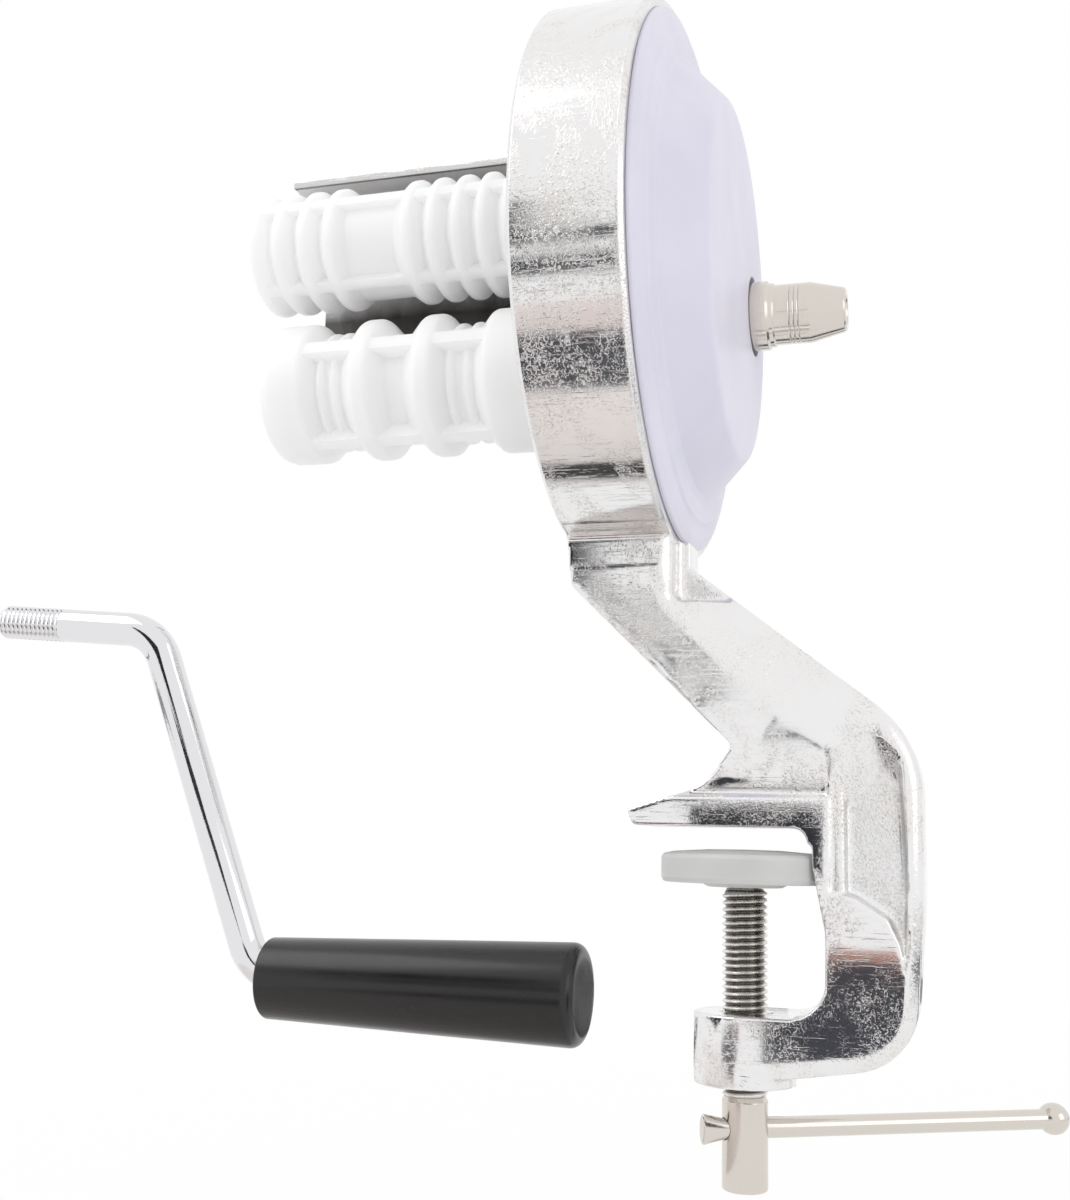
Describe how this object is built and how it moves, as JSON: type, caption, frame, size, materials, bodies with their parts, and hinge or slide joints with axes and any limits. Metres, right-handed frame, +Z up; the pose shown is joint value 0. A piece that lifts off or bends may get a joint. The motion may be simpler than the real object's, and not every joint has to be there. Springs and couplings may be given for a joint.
{
  "type": "cavatelli maker",
  "caption": "Hand-cranked pasta maker with ribbed rollers, a round gear housing on a table clamp, and a detached crank.",
  "frame": {"origin": "point of the clamp jaw's underside on the clamp screw's axis", "axes": "+Z up along the clamp screw, +X from the rollers towards the gear cover, -Y to the front"},
  "size_m": [0.2476, 0.132, 0.271],
  "materials": {
    "cast_aluminium": "belt-brushed and tumbled casting",
    "cover_plastic": "moulded, satin",
    "bronze": "machined",
    "nickel_steel": "nickel plated",
    "bare_steel": "plain",
    "thread_steel": "rolled thread",
    "chromed_steel": "chrome plated",
    "roller_plastic": "moulded, slightly translucent",
    "gear_plastic": "moulded",
    "pad_plastic": "moulded, slightly translucent",
    "grip_plastic": "glossy"
  },
  "bodies": {
    "root": {"frame_casting": "cast_aluminium", "gear_cover": "cover_plastic", "upper_bush": "bronze", "lower_bush": "bronze", "drive_bush": "bronze"},
    "drive_shaft": {"drive_shaft": "nickel_steel", "drive_pinion": "bare_steel", "thrust_washer": "bare_steel"},
    "upper_roller": {"upper_roller": "roller_plastic", "upper_axle": "bare_steel", "upper_gear": "gear_plastic", "upper_washer": "bare_steel", "upper_circlip": "bare_steel"},
    "lower_roller": {"lower_roller": "roller_plastic", "lower_axle": "bare_steel", "lower_gear": "gear_plastic", "lower_washer": "bare_steel", "lower_circlip": "bare_steel"},
    "clamp_pad": {"clamp_pad": "pad_plastic", "pad_clip": "bare_steel"},
    "clamp_screw": {"clamp_screw": "thread_steel"},
    "tommy_bar": {"tommy_bar": "nickel_steel"},
    "crank": {"crank_rod": "chromed_steel", "grip_washer": "bare_steel"},
    "crank_grip": {"crank_grip": "grip_plastic", "grip_end_cap": "grip_plastic"}
  },
  "joints": [
    {"name": "drive_spin", "type": "hinge", "parent": "root", "child": "drive_shaft", "pos_m": [0, 0.02278, 0.1283], "axis": [1, 0, 0], "continuous": true},
    {"name": "lower_roller_spin", "type": "hinge", "parent": "root", "child": "lower_roller", "pos_m": [0, 0.002, 0.1088], "axis": [1, 0, 0], "continuous": true},
    {"name": "upper_roller_spin", "type": "hinge", "parent": "root", "child": "upper_roller", "pos_m": [0, 0.002, 0.1478], "axis": [1, 0, 0], "continuous": true},
    {"name": "clamp_travel", "type": "slide", "parent": "root", "child": "clamp_pad", "axis": [0, 0, 1], "range_m": [-0.025, 0.0015]},
    {"name": "clamp_screw_turn", "type": "hinge", "parent": "clamp_pad", "child": "clamp_screw", "pos_m": [0, 0, 0], "axis": [0, 0, 1], "range_deg": [-6005, 365]},
    {"name": "tommy_bar_slide", "type": "slide", "parent": "clamp_screw", "child": "tommy_bar", "axis": [0.8453, 0.5344, 0], "range_m": [-0.067, 0]},
    {"name": "crank_unscrew", "type": "slide", "parent": "root", "child": "crank", "axis": [0.9973, 0, -0.0729], "range_m": [0, 0.014]},
    {"name": "grip_spin", "type": "hinge", "parent": "crank", "child": "crank_grip", "pos_m": [-0.06, -0.026, -0.0355], "axis": [1, 0, 0], "continuous": true}
  ],
  "couplings": [
    {"joint": "lower_roller_spin", "follows": "drive_spin", "ratio": -0.46154},
    {"joint": "upper_roller_spin", "follows": "drive_spin", "ratio": 0.46154},
    {"joint": "clamp_screw_turn", "follows": "clamp_travel", "rad_per_m": 4188.8}
  ]
}
